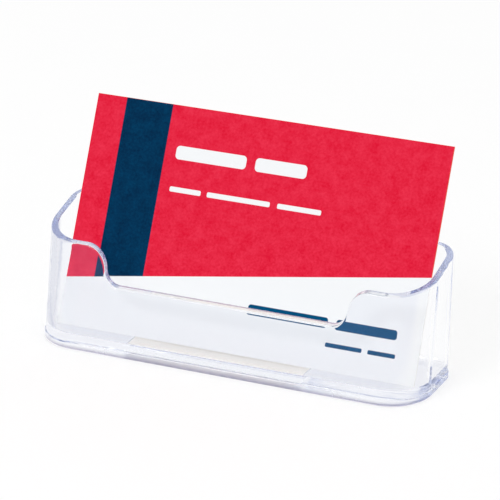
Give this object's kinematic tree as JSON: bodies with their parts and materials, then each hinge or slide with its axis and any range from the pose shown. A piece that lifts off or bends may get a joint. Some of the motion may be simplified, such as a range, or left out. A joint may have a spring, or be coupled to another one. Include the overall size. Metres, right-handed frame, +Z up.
{
  "type": "business card holder stand",
  "caption": "Clear desk stand that holds business cards leaning back behind a scooped front wall, with a raised back panel and a stepped base.",
  "frame": {"origin": "on the table, under the middle of the base plate", "axes": "+X to the right of a person facing the stand, +Y from the scooped front to the back, +Z up"},
  "size_m": [0.0974, 0.03, 0.0533],
  "materials": {
    "clear_body": "clear, polished",
    "clear_base": "clear, polished",
    "pad_foam": "matte foam",
    "card_stock": "matte printed card"
  },
  "bodies": {
    "stand": {"holder_body": "clear_body", "base_plate": "clear_base", "grip_pad": "pad_foam"},
    "card": {"business_card": "card_stock"}
  },
  "joints": [
    {"name": "card_lift", "type": "slide", "parent": "stand", "child": "card", "axis": [0, 0.4267, 0.9044], "range_m": [0, 0.05]}
  ]
}
